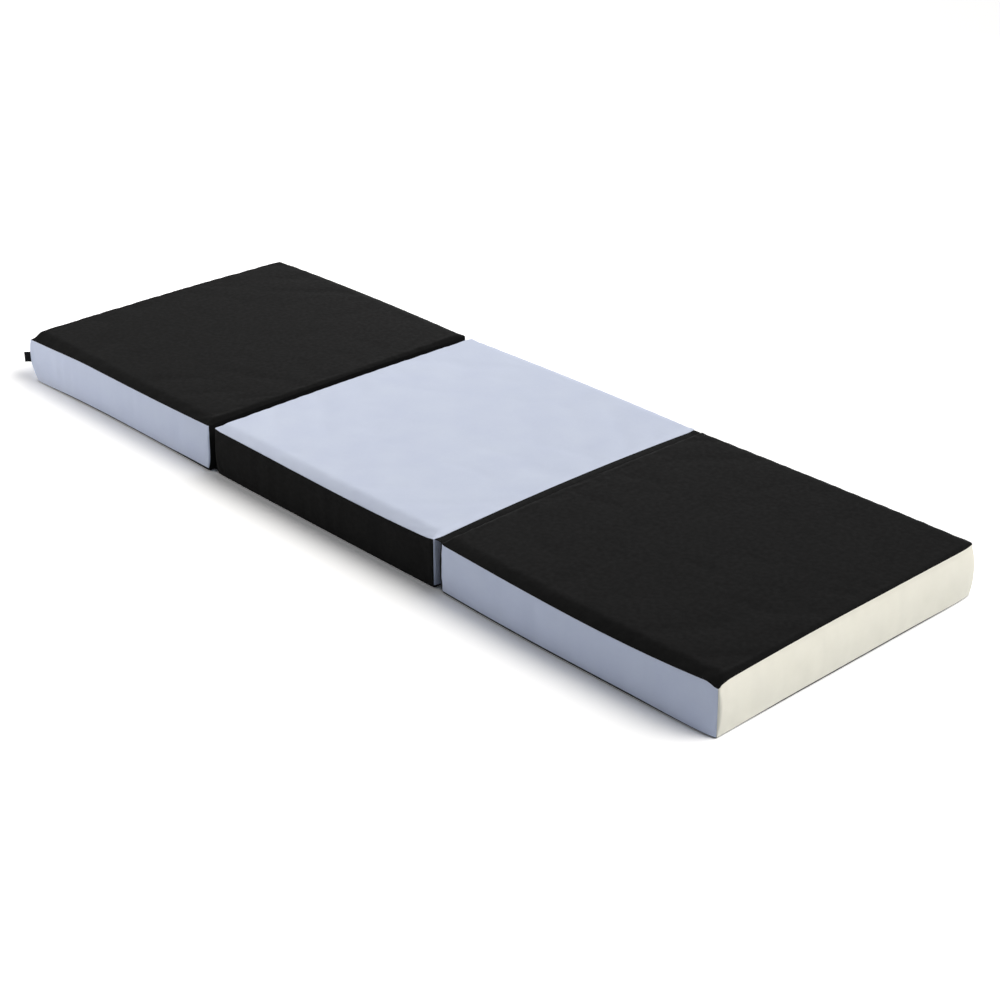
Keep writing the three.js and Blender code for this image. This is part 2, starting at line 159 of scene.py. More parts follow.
def canvas(name, colour, worn, pitch=THREAD_PITCH, roughness=(0.82, 0.95), relief_height=0.15 * MM,
           shine=0.06):
    """Woven cloth: the dye goes from colour to worn, and the roughness over its two values."""
    material, tree = empty_material(name)
    cloth = add_node(tree, "ShaderNodeUVMap", {"uv_map": "cloth"}).outputs["UV"]
    split = add_node(tree, "ShaderNodeSeparateXYZ", Vector=cloth)
    turn = math.pi / pitch
    threads = []
    for axis in ("X", "Y"):
        phase = add_node(tree, "ShaderNodeMath", {"operation": "MULTIPLY"}, in0=split.outputs[axis], in1=turn)
        thread = add_node(tree, "ShaderNodeMath", {"operation": "SINE"}, in0=phase.outputs[0])
        threads.append(thread.outputs[0])
    crossing = add_node(tree, "ShaderNodeMath", {"operation": "MULTIPLY"}, in0=threads[0], in1=threads[1])
    slubs = add_node(tree, "ShaderNodeTexNoise", Vector=cloth, Scale=1 / SLUB_LENGTH, Detail=3.0)
    clouds = add_node(tree, "ShaderNodeTexNoise", Vector=cloth, Scale=1 / CLOUD_SIZE, Detail=2.0)
    mottle = add_node(
        tree, "ShaderNodeMath", {"operation": "MULTIPLY_ADD"},
        in0=slubs.outputs["Fac"], in1=SLUBS_IN_DYE, in2=clouds.outputs["Fac"],
    )
    spread = add_node(
        tree, "ShaderNodeMapRange", Value=mottle.outputs[0],
        From_Min=DYE_NOISE[0], From_Max=DYE_NOISE[1], To_Min=0.0, To_Max=1.0,
    )
    dye = add_node(tree, "ShaderNodeMix", {"data_type": "RGBA"}, Factor=spread.outputs[0])
    dye.inputs["A"].default_value = linear(colour)
    dye.inputs["B"].default_value = linear(worn)
    rough = add_node(
        tree, "ShaderNodeMapRange", Value=slubs.outputs["Fac"],
        From_Min=SLUB_NOISE[0], From_Max=SLUB_NOISE[1], To_Min=roughness[0], To_Max=roughness[1],
    )
    relief = add_node(
        tree, "ShaderNodeMath", {"operation": "MULTIPLY_ADD"},
        in0=slubs.outputs["Fac"], in1=SLUBS_IN_RELIEF, in2=crossing.outputs[0],
    )
    bump = add_node(
        tree, "ShaderNodeBump", Height=relief.outputs[0], Strength=WEAVE_STRENGTH, Distance=relief_height,
    )
    shader = add_node(
        tree, "ShaderNodeBsdfPrincipled",
        Base_Color=dye.outputs["Result"], Roughness=rough.outputs[0], Normal=bump.outputs[0],
        Specular_IOR_Level=shine,
    )
    finish_material(tree, shader.outputs[0])
    return material


finishes = {
    "black_canvas": canvas("black_canvas", "#090909", "#0c0c0c", shine=0.08),
    "lavender_canvas": canvas("lavender_canvas", "#ccd3e6", "#d1d8e9"),
    "cream_canvas": canvas("cream_canvas", "#eeeadb", "#f2eee0"),
}
print("canvas", sorted(finishes))

# %% [markdown]
# ## Foam, tape, nylon and zinc
# Inside the covers is polyether foam, cut from a block, so its skin is open cells of under a
# millimetre. The zips have woven polyester tape, a nylon coil and die-cast zinc fittings with
# black enamel, and the label is a satin tape. The two tapes are woven, so they are the canvas
# recipe again with a finer thread. Each is named for the real material, and starts from its usual
# roughness and index of refraction.

# %% Foam, tape, nylon and zinc materials
CELL_SIZE = 0.9 * MM
TAPE_RIB = 0.8 * MM
SATIN_THREAD = 0.4 * MM
GRAIN_STRENGTH = 0.5


def bumped(name, colour, light, grain_size, relief, roughness, **settings):
    """An even material whose fine grain goes from colour to light and stands up by the relief."""
    material, tree = empty_material(name)
    place = add_node(tree, "ShaderNodeTexCoord").outputs["Object"]
    grain = add_node(tree, "ShaderNodeTexNoise", Vector=place, Scale=1 / grain_size, Detail=4.0)
    tone = add_node(tree, "ShaderNodeMix", {"data_type": "RGBA"}, Factor=grain.outputs["Fac"])
    tone.inputs["A"].default_value = linear(colour)
    tone.inputs["B"].default_value = linear(light)
    bump = add_node(
        tree, "ShaderNodeBump", Height=grain.outputs["Fac"], Strength=GRAIN_STRENGTH, Distance=relief,
    )
    shader = add_node(
        tree, "ShaderNodeBsdfPrincipled", Base_Color=tone.outputs["Result"],
        Roughness=roughness, Normal=bump.outputs[0], **settings,
    )
    finish_material(tree, shader.outputs[0])
    return material


# Open foam cells swallow the light, so the foam is dull all over
finishes["polyether_foam"] = bumped(
    "polyether_foam", "#e0d8bf", "#f0ead6", grain_size=CELL_SIZE, relief=0.4 * MM, roughness=0.95,
    Specular_IOR_Level=0.1,
)
finishes["zip_tape"] = canvas("zip_tape", "#161618", "#1c1c1f", pitch=TAPE_RIB, roughness=(0.7, 0.85))
# Drawn nylon is smooth, which gives every turn of the coil a soft line of light
finishes["nylon_coil"] = bumped(
    "nylon_coil", "#17171a", "#1e1e22", grain_size=TAPE_RIB, relief=0.02 * MM, roughness=0.38, IOR=1.53,
)
# Enamel is a clear coat over its own colour
finishes["painted_zinc"] = bumped(
    "painted_zinc", "#202024", "#2a2a2e", grain_size=CELL_SIZE, relief=0.01 * MM, roughness=0.3,
    Coat_Weight=0.4, Coat_Roughness=0.15,
)
finishes["black_tape"] = canvas(
    "black_tape", "#141416", "#1a1a1c", pitch=SATIN_THREAD, roughness=(0.4, 0.55), relief_height=0.05 * MM,
)
# Spun cotton thread has the colour of the cloth that it sews
thread_finishes = {
    f"{shade}_canvas": bumped(
        f"{shade}_thread", *tones, grain_size=CELL_SIZE, relief=0.05 * MM, roughness=0.7,
    )
    for shade, tones in {"black": ("#161616", "#222222"), "lavender": ("#bcc4dc", "#d2d8ea")}.items()
}
print("finishes", sorted(finishes), "and threads", sorted(thread_finishes))

# %% [markdown]
# ## The form of one section
# A section is a foam block in a cover: a crowned top, a flat underside and a band between them.
# The plan is a rectangle with 4 mm corners, each with an upright seam in its middle. The sizes are
# those of the CAD model. Each section has its own small faults of some millimetres: its front bows
# out and its seam sags, an end bulges or leans, a corner is tucked in. All functions below take a
# place on the uncut rectangle, so that every panel that meets at a seam gets the same points there.
#
# In the tables, a bow pushes a side out in plan, a sag or drop lowers a top seam, a lift raises a
# seam, a flare pushes the bottom seam out, and a swell rounds the band. A tuck draws a corner in,
# given for its top and its bottom in x and y. The lean power says how early on its way up the band
# reaches the top seam's plan, and the seam shift moves two upright seams by whole grid lines. Pairs
# are for the left and the right end.

# %% Section sizes
HALF_LENGTH = 317.5 * MM
HALF_WIDTH = 335 * MM
PITCH = 653 * MM
CORNER = 4 * MM
BOTTOM_SEAM = 4 * MM
TOP_SEAM = 95 * MM
MIDDLE = (BOTTOM_SEAM + TOP_SEAM) / 2
FRONT_SHOULDER = 26 * MM
END_SHOULDER = 10 * MM
BACK_SHOULDER = 16 * MM
SHOULDER_RISE = 8 * MM
CROWN_RISE = 1 * MM
LEVELLING_POWER = 1.4
FLOOR_RUN = 5 * MM
SIDE_SWELL = 1.5 * MM
SAG_SKEW = 1.1
TUCK_REACH = 25 * MM
SLOT_OPEN_HALF = 4.3 * MM
SLOT_CLOSED_HALF = 0.1 * MM
SLOT_END = 8 * MM
SLOT_TAPER = 14 * MM


def mm(*lengths):
    return tuple(length * MM for length in lengths)


# Each corner, by its side in x and in y, has the drop of its top seam, and how far that reaches
# along the long side and along the end
plain_form = {
    "front_bow": 0.0, "front_sag": 0.0, "back_lift": 0.0, "left_bow": 0.0,
    "corners": {(x, y): mm(-2, 18, 18) for x in (-1, 1) for y in (-1, 1)},
    "end_lifts": mm(5, 5), "corner_lifts": mm(2, 2), "lift_reach": 18 * MM, "rim_lift": 0.0,
    "bottom_out": mm(0, 0), "front_flares": mm(0, 0), "tucks": {}, "lean_power": 1, "seam_shift": 0,
    "swells": dict.fromkeys(("front", "back", "left", "right"), SIDE_SWELL),
}
sections = {
    "left": plain_form | {
        "x": -PITCH, "seed": 3, "front_bow": 2 * MM, "front_sag": 1 * MM, "left_bow": 6 * MM,
        "corners": {
            (-1, -1): mm(7.5, 230, 25), (-1, 1): mm(1, 40, 40),
            (1, -1): mm(0, 40, 40), (1, 1): mm(-2, 40, 40),
        },
        "end_lifts": mm(1, 5), "corner_lifts": mm(-2, 2.5), "lift_reach": 180 * MM,
        "front_flares": mm(12, 6), "back_lift": 5 * MM, "lean_power": 7,
        "tucks": {(-1, -1): (mm(-2.4, -2.4), mm(21, 5)), (-1, 1): (mm(2.8, 2.8), mm(2.8, 2.8))},
        "swells": plain_form["swells"] | {"front": 2.5 * MM, "left": 8 * MM},
    },
    "middle": plain_form | {
        "x": 0.0, "seed": 5, "front_bow": 1 * MM, "front_sag": 3.3 * MM,
        "end_lifts": mm(5, 7), "back_lift": 3.5 * MM,
    },
    "right": plain_form | {
        "x": PITCH, "seed": 8, "front_bow": 8 * MM, "front_sag": 4.4 * MM,
        "corners": {
            (-1, -1): mm(-2, 10, 10), (-1, 1): mm(-2, 10, 10),
            (1, -1): mm(6.5, 26, 8), (1, 1): mm(-4, 60, 300),
        },
        "end_lifts": mm(7, 6.5), "corner_lifts": mm(0, -2.5), "lift_reach": 200 * MM,
        "back_lift": 2 * MM, "rim_lift": 0.8 * MM, "bottom_out": mm(0, 2.5),
        "front_flares": mm(0, 7), "seam_shift": 2,
        "tucks": {(1, -1): (mm(0, 0), mm(0, 6)), (1, 1): (mm(7.3, 7.3), mm(5.5, 5.5))},
        "swells": plain_form["swells"] | {"left": 4 * MM, "right": 6 * MM},
    },
}
print("sections", {name: form["x"] for name, form in sections.items()}, "m, pitch", PITCH)


# %% Places on a section
def smooth(t):
    t = np.clip(t, 0, 1)
    return t * t * (3 - 2 * t)


def slope_left(t):
    """What is left to climb over a shoulder: steep at the seam, level at the top."""
    return (1 - np.clip(t, 0, 1)) ** LEVELLING_POWER


def arch(t, half):
    """1 in the middle of a side, 0 where its rounded corners start."""
    return np.clip(1 - (t / (half - CORNER)) ** 2, 0, 1)


def quarter_round(t):
    """Height of a quarter circle, from 0 upright to 1 level."""
    return np.sqrt(1 - (1 - np.clip(t, 0, 1)) ** 2)


def corner_share(t, half, reach):
    """1 in the middle of a corner, falling to 0 within a reach of seam on either side."""
    inset = half - np.abs(t)
    over = np.clip((CORNER - inset) / CORNER, 0, 1)
    on_arc = CORNER * (math.pi / 4 - np.arctan(over))
    along = np.where(inset < CORNER, on_arc, CORNER * (math.pi / 4 - 1) + inset)
    return 1 - smooth(along / reach)


def plan(u, v, form, level):
    """Plan place at the bottom, level 0, or at the top, level 1."""
    over_x = np.clip(np.abs(u) - (HALF_LENGTH - CORNER), 0, None)
    over_y = np.clip(np.abs(v) - (HALF_WIDTH - CORNER), 0, None)
    spread = np.hypot(over_x, over_y)
    keep = np.divide(np.maximum(over_x, over_y), spread, out=np.ones_like(spread), where=spread > 0)
    x = np.sign(u) * (np.minimum(np.abs(u), HALF_LENGTH - CORNER) + over_x * keep)
    y = np.sign(v) * (np.minimum(np.abs(v), HALF_WIDTH - CORNER) + over_y * keep)
    y = y - form["front_bow"] * arch(u, HALF_LENGTH) * smooth(-v / HALF_WIDTH)
    x = x - form["left_bow"] * arch(v, HALF_WIDTH) * smooth(-u / HALF_LENGTH)
    left_out, right_out = form["bottom_out"]
    x = x + (1 - level) * (right_out * smooth(u / HALF_LENGTH) - left_out * smooth(-u / HALF_LENGTH))
    flare = np.where(u < 0, *form["front_flares"]) * (u / HALF_LENGTH) ** 2
    y = y - (1 - level) * flare * smooth(-v / HALF_WIDTH)
    for (sign_x, sign_y), (top_tuck, bottom_tuck) in form["tucks"].items():
        away = np.hypot(sign_x * HALF_LENGTH - u, sign_y * HALF_WIDTH - v)
        near = np.exp(-away / TUCK_REACH)
        x = x - sign_x * near * (bottom_tuck[0] + level * (top_tuck[0] - bottom_tuck[0]))
        y = y - sign_y * near * (bottom_tuck[1] + level * (top_tuck[1] - bottom_tuck[1]))
    return x, y


def long_side_drop(u, v, form):
    """How far the front seam sags, more to the right, or the back seam rises."""
    skewed = 1 + SAG_SKEW * u / (HALF_LENGTH - CORNER)
    return np.where(v < 0, form["front_sag"] * skewed, -form["back_lift"]) * arch(u, HALF_LENGTH)


def top_height(u, v, form):
    """Height of the top: its seams' own heights, a shoulder beside them, and the crown."""
    across = np.where(v < 0, FRONT_SHOULDER, BACK_SHOULDER)
    fade_x = slope_left((HALF_LENGTH - np.abs(u)) / END_SHOULDER)
    fade_y = slope_left((HALF_WIDTH - np.abs(v)) / across)
    long_drop = long_side_drop(u, v, form)
    end_drop = -np.where(u < 0, *form["end_lifts"]) * arch(v, HALF_WIDTH)
    for (side_x, side_y), (corner_drop, long_reach, end_reach) in form["corners"].items():
        here = ((u < 0) == (side_x < 0)) & ((v < 0) == (side_y < 0))
        long_drop = long_drop + here * corner_drop * corner_share(u, HALF_LENGTH, long_reach)
        end_drop = end_drop + here * corner_drop * corner_share(v, HALF_WIDTH, end_reach)
    drop = (long_drop * fade_y + end_drop * fade_x) / np.maximum(fade_x + fade_y, 1)
    shoulder = SHOULDER_RISE * (1 - fade_x) * (1 - fade_y)
    crown = CROWN_RISE * (1 - (u / HALF_LENGTH) ** 2) * (1 - (v / HALF_WIDTH) ** 2)
    return TOP_SEAM + shoulder + crown - drop


def bottom_height(u, v, form):
    """Height of the underside: flat on the floor, and rounded up to its seam."""
    fade_x = 1 - quarter_round((HALF_LENGTH - np.abs(u)) / FLOOR_RUN)
    fade_y = 1 - quarter_round((HALF_WIDTH - np.abs(v)) / FLOOR_RUN)
    reach = form["lift_reach"]
    lift = np.minimum(corner_share(u, HALF_LENGTH, reach), corner_share(v, HALF_WIDTH, reach))
    seam = BOTTOM_SEAM + form["rim_lift"] + np.where(u < 0, *form["corner_lifts"]) * lift
    return seam * (1 - (1 - fade_x) * (1 - fade_y))


# %% [markdown]
# ## The cover as one grid
# Before it is cut into panels, the cover is one welded skin: a grid for the top, one for the
# bottom, and rows for the band, with the same points where they meet. The lines crowd together
# near the seams, where the cloth turns most, and lie a centimetre apart in the middle.

# %% Grid helpers
EDGE_INSETS = np.array([0, 2.4, 4, 6, 8.2, 10.8, 14, 18, 22.5, 28, 34, 41, 50]) * MM
CELL = 10.5 * MM


def grid_lines(half):
    inner = half - EDGE_INSETS[-1]
    middle = np.linspace(-inner, inner, round(2 * inner / CELL) + 1)
    return np.concatenate([-half + EDGE_INSETS[:-1], middle, (half - EDGE_INSETS[:-1])[::-1]])


def ring_of(columns, rows):
    """Grid places round the outline, counter-clockwise from the front left corner."""
    front = [(i, 0) for i in range(columns)]
    right_end = [(columns - 1, j) for j in range(1, rows)]
    rear = [(i, rows - 1) for i in range(columns - 2, -1, -1)]
    left_end = [(0, j) for j in range(rows - 2, 0, -1)]
    return np.array(front + right_end + rear + left_end)


def corner_stations(columns, rows):
    """Where the four corners come in that ring, and where it closes."""
    return np.cumsum([0, columns - 1, rows - 1, columns - 1, rows - 1])


def outline_of(index):
    ring = ring_of(*index.shape)
    return index[ring[:, 0], ring[:, 1]]


def grid_quads(index):
    corners = (index[:-1, :-1], index[1:, :-1], index[1:, 1:], index[:-1, 1:])
    return np.stack(corners, -1).reshape(-1, 4)


def index_of(grid):
    """The place of each point of a grid in the flat list of them."""
    return np.arange(grid[..., 0].size).reshape(grid.shape[:-1])


def unit(vectors):
    return vectors / np.linalg.norm(vectors, axis=-1, keepdims=True)


def surface_normals(points, quads):
    a, b, c, d = (points[quads[:, k]] for k in range(4))
    face = np.cross(c - a, d - b)
    normals = np.zeros_like(points)
    for k in range(4):
        np.add.at(normals, quads[:, k], face)
    return unit(normals)


print("grid lines", len(grid_lines(HALF_LENGTH)), "by", len(grid_lines(HALF_WIDTH)))

# %% [markdown]
# ## The band and the weld
# The band joins the rims of the two grids. It leans where they differ and swells at half height,
# as cloth does over soft foam. Its rows run from the bottom seam to the lower edge of the zip's
# slot, then comes the slot's middle, and then the upper edge and the rows to the top seam. On the
# front and the ends the slot's rows are ordinary cloth. At the back the slot tapers shut before
# the corners, where the real tapes are sewn in.

# %% Cover of a section
ROW_SHARES = np.array([0, 0.05, 0.13, 0.27, 0.45, 0.65, 0.85, 1])
LOWER_EDGE = len(ROW_SHARES) - 1
SLOT_MIDDLE = LOWER_EDGE + 1
UPPER_EDGE = LOWER_EDGE + 2


def swell(height):
    """Share of the bulge that a side has at a height."""
    return np.clip(1 - ((height - MIDDLE) / (TOP_SEAM - MIDDLE)) ** 2, 0, 1)


def slot_half(u, v):
    """Half the height of the zip's slot, which tapers shut before the two back corners."""
    at_end = 1 - smooth((HALF_LENGTH - np.abs(u) - SLOT_END) / SLOT_TAPER)
    at_back = 1 - smooth((HALF_WIDTH - v) / (2 * SLOT_TAPER))
    return SLOT_OPEN_HALF + (SLOT_CLOSED_HALF - SLOT_OPEN_HALF) * at_end * at_back


def cover(form):
    """The three grids of a section's cover, before any slack: top, bottom and band."""
    u_lines, v_lines = grid_lines(HALF_LENGTH), grid_lines(HALF_WIDTH)
    u, v = np.meshgrid(u_lines, v_lines, indexing="ij")
    top = np.stack([*plan(u, v, form, 1), top_height(u, v, form)], -1)
    bottom = np.stack([*plan(u, v, form, 0), bottom_height(u, v, form)], -1)
    ring = ring_of(*u.shape)
    ring_u, ring_v = u[ring[:, 0], ring[:, 1]], v[ring[:, 0], ring[:, 1]]
    low = bottom[ring[:, 0], ring[:, 1]]
    high = top[ring[:, 0], ring[:, 1]]
    normal_x = np.sign(ring_u) * np.clip(np.abs(ring_u) - (HALF_LENGTH - CORNER), 0, None)
    normal_y = np.sign(ring_v) * np.clip(np.abs(ring_v) - (HALF_WIDTH - CORNER), 0, None)
    normal = unit(np.stack([normal_x, normal_y], -1))
    slot = slot_half(ring_u, ring_v)[:, None]
    heights = np.concatenate([
        low[:, 2:] + (MIDDLE - slot - low[:, 2:]) * ROW_SHARES,
        np.full((len(ring), 1), MIDDLE),
        high[:, 2:] + (MIDDLE + slot - high[:, 2:]) * ROW_SHARES[::-1],
    ], axis=1)
    swells = form["swells"]
    across = np.where(normal[:, 0] < 0, swells["left"], swells["right"]) * normal[:, 0] ** 2
    along = np.where(normal[:, 1] < 0, swells["front"], swells["back"]) * normal[:, 1] ** 2
    bulge = (across + along)[:, None] * swell(heights)
    share = (heights - low[:, 2:]) / (high[:, 2:] - low[:, 2:])
    band = np.empty(heights.shape + (3,))
    upright = 1 - (1 - share) ** form["lean_power"]
    band[..., :2] = low[:, None, :2] + upright[..., None] * (high - low)[:, None, :2]
    band[..., :2] += normal[:, None] * bulge[..., None]
    band[..., 2] = heights
    return {"u": u, "v": v, "top": top, "bottom": bottom, "band": band, "ring": ring}


def weld(skin):
    """The three grids as one list of points, with the index of each grid place in it."""
    columns, rows = skin["u"].shape
    stations, levels = skin["band"].shape[:2]
    top_index = np.arange(columns * rows).reshape(columns, rows)
    bottom_index = top_index + columns * rows
    band_index = np.empty((stations + 1, levels), int)
    band_index[:-1, 1:-1] = 2 * columns * rows + np.arange(stations * (levels - 2)).reshape(stations, -1)
    ring = skin["ring"]
    band_index[:-1, 0] = bottom_index[ring[:, 0], ring[:, 1]]
    band_index[:-1, -1] = top_index[ring[:, 0], ring[:, 1]]
    band_index[-1] = band_index[0]
    points = np.concatenate([
        skin["top"].reshape(-1, 3), skin["bottom"].reshape(-1, 3), skin["band"][:, 1:-1].reshape(-1, 3),
    ])
    quads = np.concatenate([
        grid_quads(top_index), grid_quads(bottom_index)[:, ::-1], grid_quads(band_index),
    ])
    return points, quads, top_index, bottom_index, band_index


# %% [markdown]
# ## Slack in the cloth
# Sewn canvas over foam is never quite smooth. It lies in long soft waves, and beside each seam it
# gathers into small puckers, because the thread draws it in. Both are sums of a few sine waves with
# seeded phases, moved along the skin's own normal, so every run gives the same cloth.

# %% Waves and puckers
WAVE_COUNT = 9
PUCKER_COUNT = 8
PUCKER_SHORTEST = 13 * MM
PUCKER_LONGEST = 45 * MM


def waves(a, b, longest, shortest, seed):
    """A sum of sine waves that run every way over a surface, of about unit size."""
    random = np.random.default_rng(seed)
    total = np.zeros_like(a)
    for _ in range(WAVE_COUNT):
        heading = random.uniform(0, 2 * math.pi)
        length = random.uniform(shortest, longest)
        phase = random.uniform(0, 2 * math.pi)
        total += np.sin((a * math.cos(heading) + b * math.sin(heading)) * 2 * math.pi / length + phase)
    return total / math.sqrt(WAVE_COUNT)


def pucker(along, seed):
    """A sum of sine waves along a seam, of about unit size."""
    random = np.random.default_rng(seed)
    total = np.zeros_like(along)
    for _ in range(PUCKER_COUNT):
        length = random.uniform(PUCKER_SHORTEST, PUCKER_LONGEST)
        total += np.sin(along * 2 * math.pi / length + random.uniform(0, 2 * math.pi))
    return total / math.sqrt(PUCKER_COUNT)


# %% Slack of a cover
TOP_WAVE = 0.45 * MM
TOP_WAVE_FADE = 60 * MM
TOP_PUCKER = 0.3 * MM
TOP_PUCKER_FADE = 4 * MM
LONG_SEAM_REACH = 16 * MM
END_SEAM_REACH = 9 * MM
BAND_WAVE = 0.3 * MM
BAND_WAVE_FADE = 0.3
BAND_PUCKER = 0.25 * MM
BAND_PUCKER_FADE = 0.04
BAND_PUCKER_REACH = 0.25


def slacken(skin, form):
    """Weld a cover and give it its waves and puckers. On the band, reaches are shares of its height."""
    points, quads, top_index, bottom_index, band_index = weld(skin)
    normals = surface_normals(points, quads)
    move = np.zeros(len(points))
    u, v, seed = skin["u"], skin["v"], form["seed"]
    inset_x, inset_y = HALF_LENGTH - np.abs(u), HALF_WIDTH - np.abs(v)
    edge = np.minimum(inset_x, inset_y)
    soft = waves(u, v, 320 * MM, 90 * MM, seed) * TOP_WAVE * smooth(edge / TOP_WAVE_FADE)
    gather = pucker(u, seed + 1) * np.exp(-inset_y / LONG_SEAM_REACH)
    gather += pucker(v, seed + 2) * np.exp(-inset_x / END_SEAM_REACH)
    move[top_index.ravel()] = (soft + TOP_PUCKER * gather * smooth(edge / TOP_PUCKER_FADE)).ravel()
    low, high = skin["band"][:, :1, 2], skin["band"][:, -1:, 2]
    heights = skin["band"][..., 2]
    step = np.linalg.norm(np.diff(skin["band"][:, 0, :2], axis=0, append=skin["band"][:1, 0, :2]), axis=1)
    along = np.repeat(np.concatenate([[0], np.cumsum(step)[:-1]])[:, None], heights.shape[1], axis=1)
    share = (heights - low) / (high - low)
    inside = np.minimum(share, 1 - share)
    hang = waves(along, heights, 260 * MM, 60 * MM, seed + 3) * BAND_WAVE * smooth(inside / BAND_WAVE_FADE)
    drawn = pucker(along, seed + 4) * BAND_PUCKER * smooth(inside / BAND_PUCKER_FADE)
    drawn *= np.exp(-inside / BAND_PUCKER_REACH)
    move[band_index[:-1, 1:-1].ravel()] = (hang + drawn)[:, 1:-1].ravel()
    return points + normals * move[:, None], quads, top_index, bottom_index, band_index


# %% [markdown]
# ## Let the cloth settle
# Foam is cut a little larger than its cover, so it presses the cloth out from inside, and the
# cloth, held by its seams, finds its own folds. Blender's cloth does the same: the welded skin is
# pinned hard at its seams and weakly everywhere, it grows by two percent, and a light pressure
# fills it. Only a third of each move along the skin's normal is kept, and it is capped at a good
# half millimetre, because firm foam hardly lets canvas wander.

# %% Settle the cloth
SIM_FRAMES = 20
SIM_QUALITY = 6
POINT_MASS = 0.1
STRETCH_STIFFNESS = 15
SHEAR_STIFFNESS = 5
BENDING_STIFFNESS = 0.5
FOAM_PRESSURE = 0.5
GROWTH = 0.02
FOAM_GRIP = 0.12
GIVE = 0.35
MOST = 0.6 * MM


def settle_cloth(name, points, quads, top_index, bottom_index, band_index):
    mesh = bpy.data.meshes.new(f"{name}-settling")
    mesh.from_pydata(points.tolist(), [], quads.tolist())
    pad = bpy.data.objects.new(f"{name}-settling", mesh)
    bpy.context.scene.collection.objects.link(pad)
    corners = corner_stations(*top_index.shape)
    back_slot = band_index[corners[2]:corners[3], LOWER_EDGE:UPPER_EDGE + 1]
    sewn = np.unique(np.concatenate([
        outline_of(top_index), bottom_index.ravel(), band_index[corners].ravel(), back_slot.ravel(),
    ]))
    grip = pad.vertex_groups.new(name="grip")
    grip.add(range(len(points)), FOAM_GRIP, "REPLACE")
    grip.add(sewn.tolist(), 1.0, "REPLACE")
    cloth = pad.modifiers.new("cloth", "CLOTH")
    cloth.collision_settings.use_collision = False
    cloth.point_cache.frame_start = 1
    cloth.point_cache.frame_end = SIM_FRAMES
    settings = cloth.settings
    settings.quality = SIM_QUALITY
    settings.mass = POINT_MASS
    settings.tension_stiffness = STRETCH_STIFFNESS
    settings.compression_stiffness = STRETCH_STIFFNESS
    settings.shear_stiffness = SHEAR_STIFFNESS
    settings.bending_stiffness = BENDING_STIFFNESS
    settings.vertex_group_mass = "grip"
    settings.shrink_min = -GROWTH
    settings.use_pressure = True
    settings.uniform_pressure_force = FOAM_PRESSURE
    settings.effector_weights.gravity = 0
    scene = bpy.context.scene
    for frame_number in range(1, SIM_FRAMES + 1):
        scene.frame_set(frame_number)
    settled = pad.evaluated_get(bpy.context.evaluated_depsgraph_get())
    after = np.empty(len(points) * 3)
    settled.data.vertices.foreach_get("co", after)
    scene.frame_set(1)
    bpy.data.objects.remove(pad)
    normals = surface_normals(points, quads)
    out = ((after.reshape(-1, 3) - points) * normals).sum(1)
    print(name, "settled, mm in and out", round(out.min() / MM, 1), round(out.max() / MM, 1))
    return points + normals * (MOST * np.tanh(GIVE * out / MOST))[:, None]


# %% [markdown]
# ## A cut panel
# Each panel is sewn to its neighbours with its border turned in, so a seam is a fine groove
# between two rolled edges. A panel is made as the real one is: its outer face, rolled inward along
# the whole border, and given the thickness of cloth, which makes it a closed shell. This keeps
# every panel a piece of its own, with nothing painted on.

# %% Panel shell
CLOTH = 0.7 * MM
ROLL = 1.0 * MM
TURN_IN = 1.8 * MM
SEAM_GAP = 0.1 * MM
ROLL_ANGLES = np.radians([30, 60, 90])
SHARPEST_MITRE = 0.6


def mesh_piece(name, points, quads, material, uv=None):
    faces = quads if isinstance(quads, list) else quads.tolist()
    mesh = bpy.data.meshes.new(name)
    mesh.from_pydata(points.tolist(), [], faces)
    mesh.shade_smooth()
    if uv is not None:
        layer = mesh.uv_layers.new(name="cloth")
        corners = np.empty(len(mesh.loops), dtype=np.int32)
        mesh.loops.foreach_get("vertex_index", corners)
        layer.data.foreach_set("uv", uv[corners].astype(np.float32).ravel())
    mesh.materials.append(material)
    piece = bpy.data.objects.new(name, mesh)
    bpy.context.scene.collection.objects.link(piece)
    return piece


def strip_quads(first, second):
    """The faces between two closed runs of points."""
    ahead, beyond = np.roll(first, -1), np.roll(second, -1)
    return np.stack([first, second, beyond, ahead], -1)


def shell(points, quads, border, uv):
    """Roll the border in and give the panel its thickness. The border runs counter-clockwise."""
    normals = surface_normals(points, quads)
    line = points[border]
    normal = normals[border]
    ahead = unit(np.roll(line, -1, axis=0) - line)
    behind = np.roll(ahead, 1, axis=0)
    across = (unit(np.cross(ahead, normal)) + unit(np.cross(behind, normal))) / 2
    length = np.linalg.norm(across, axis=1, keepdims=True)
    across = across / np.maximum(length, SHARPEST_MITRE) ** 2
    outer = points.copy()
    outer[border] = line - (ROLL + SEAM_GAP / 2) * across
    inner = outer - CLOTH * normals
    centre = outer[border] - ROLL * normal
    rings_out, rings_in = [], []
    for angle in ROLL_ANGLES:
        spoke = normal * math.cos(angle) + across * math.sin(angle)
        rings_out.append(centre + ROLL * spoke)
        rings_in.append(centre + (ROLL - CLOTH) * spoke)
    depth = (TURN_IN - ROLL) * normal
    rings_out.append(centre + ROLL * across - depth)
    rings_in.append(centre + (ROLL - CLOTH) * across - depth)
    count, edge = len(points), len(border)
    rings = rings_out + rings_in[::-1]
    places = [border] + [2 * count + edge * k + np.arange(edge) for k in range(len(rings))] + [border + count]
    all_quads = [quads, quads[:, ::-1] + count]
    all_quads += [strip_quads(a, b) for a, b in zip(places[:-1], places[1:])]
    all_uv = np.concatenate([uv, uv] + [uv[border]] * len(rings))
    return np.concatenate([outer, inner] + rings), np.concatenate(all_quads), all_uv


